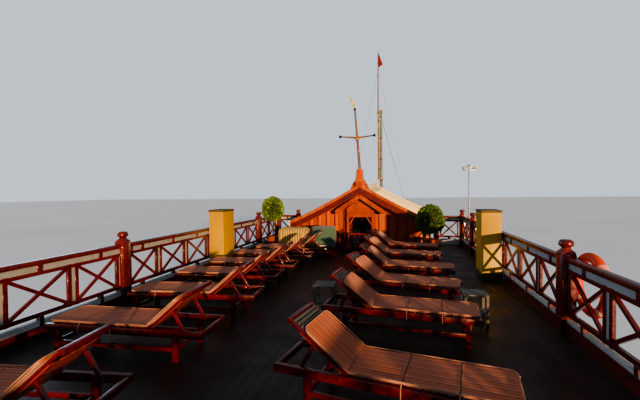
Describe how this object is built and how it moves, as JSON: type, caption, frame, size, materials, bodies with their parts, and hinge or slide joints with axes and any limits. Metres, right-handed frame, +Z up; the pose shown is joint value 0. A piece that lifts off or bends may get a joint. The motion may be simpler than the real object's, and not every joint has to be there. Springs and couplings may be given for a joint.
{
  "type": "wooden sightseeing junk",
  "caption": "Wooden junk with two cabin decks, open sun deck with railings and loungers, gabled wheelhouse roof and a tall foremast.",
  "frame": {"origin": "on the centreline, amidships, on the waterline", "axes": "+X to the bow, +Y to port, +Z up"},
  "size_m": [31.08, 7.94, 18.03],
  "materials": {
    "hull": "oiled dark brown planking",
    "propeller_bronze": "cast bronze",
    "varnished_boards": "glossy orange varnish on vertical boards",
    "red_varnish": "red stain under varnish",
    "dark_varnish": "dark red brown stain under varnish",
    "deck_boards": "wet dark deck boards",
    "yellow_paint": "satin mustard paint",
    "cream_roof": "matt cream painted sheet",
    "mast_paint": "weathered grey paint",
    "galvanised_steel": "galvanised",
    "red_cloth": "thin woven polyester",
    "orange_foam": "moulded orange shell",
    "foliage": "dense small leaves over a clay pot",
    "lounger_pad": "striped woven pad on a red varnished frame",
    "straw_weave": "woven straw",
    "teal_cloth": "heavy cotton cover",
    "grey_slats": "silver grey weathered slats"
  },
  "bodies": {
    "root": {"hull": "hull", "saloon_side_port": "varnished_boards", "saloon_side_starboard": "varnished_boards", "saloon_front": "varnished_boards", "saloon_back": "varnished_boards", "cabin_side_port": "varnished_boards", "cabin_side_starboard": "varnished_boards", "cabin_back": "varnished_boards", "wheelhouse_side_port": "varnished_boards", "wheelhouse_side_starboard": "varnished_boards", "wheelhouse_front": "varnished_boards", "gable_wall": "varnished_boards", "signal_mast": "varnished_boards", "companion_porch": "red_varnish", "companion_fence": "red_varnish", "deck_rail_port": "dark_varnish", "deck_rail_starboard": "dark_varnish", "deck_rail_aft": "dark_varnish", "veranda_port": "dark_varnish", "veranda_starboard": "dark_varnish", "companion_stair": "dark_varnish", "windlass": "dark_varnish", "upper_deck": "deck_boards", "sun_deck": "deck_boards", "vent_trunk_port": "yellow_paint", "vent_trunk_starboard": "yellow_paint", "house_roof": "cream_roof", "foremast": "mast_paint", "topmast": "mast_paint", "forestay": "galvanised_steel", "shroud_port": "galvanised_steel", "shroud_starboard": "galvanised_steel", "lamp_post": "galvanised_steel", "flag": "red_cloth", "lifebuoy": "orange_foam", "potted_shrub_port": "foliage", "potted_shrub_starboard": "foliage", "lounger_port_1": "lounger_pad", "lounger_port_2": "lounger_pad", "lounger_port_3": "lounger_pad", "lounger_port_4": "lounger_pad", "lounger_port_5": "lounger_pad", "lounger_port_6": "lounger_pad", "lounger_port_7": "lounger_pad", "lounger_starboard_1": "lounger_pad", "lounger_starboard_2": "lounger_pad", "lounger_starboard_3": "lounger_pad", "lounger_starboard_4": "lounger_pad", "lounger_starboard_5": "lounger_pad", "lounger_starboard_6": "lounger_pad", "rattan_chest": "straw_weave", "covered_table": "teal_cloth", "side_table_port": "grey_slats", "side_table_starboard": "grey_slats"},
    "propeller": {"propeller": "propeller_bronze"},
    "rudder": {"rudder": "hull"},
    "saloon_door": {"saloon_door": "red_varnish"},
    "cabin_door_port": {"cabin_door_port": "red_varnish"},
    "cabin_door_starboard": {"cabin_door_starboard": "red_varnish"},
    "helm": {"helm": "dark_varnish"}
  },
  "joints": [
    {"name": "propeller_spin", "type": "hinge", "parent": "root", "child": "propeller", "pos_m": [-12.65, 0, -1.05], "axis": [1, 0, 0], "continuous": true},
    {"name": "rudder_steer", "type": "hinge", "parent": "root", "child": "rudder", "pos_m": [-13.35, 0, -1], "axis": [0, 0, 1], "range_deg": [-35, 35]},
    {"name": "helm_turn", "type": "hinge", "parent": "root", "child": "helm", "pos_m": [6.9, 0, 4.65], "axis": [1, 0, 0], "continuous": true},
    {"name": "saloon_door_swing", "type": "hinge", "parent": "root", "child": "saloon_door", "pos_m": [7.03, 0.438, 1.46], "axis": [0, 0, 1], "range_deg": [0, 95]},
    {"name": "cabin_door_port_swing", "type": "hinge", "parent": "root", "child": "cabin_door_port", "pos_m": [-0.212, 2.58, 3.8], "axis": [0, 0, -1], "range_deg": [0, 90]},
    {"name": "cabin_door_starboard_swing", "type": "hinge", "parent": "root", "child": "cabin_door_starboard", "pos_m": [-0.212, -2.58, 3.8], "axis": [0, 0, 1], "range_deg": [0, 90]}
  ]
}
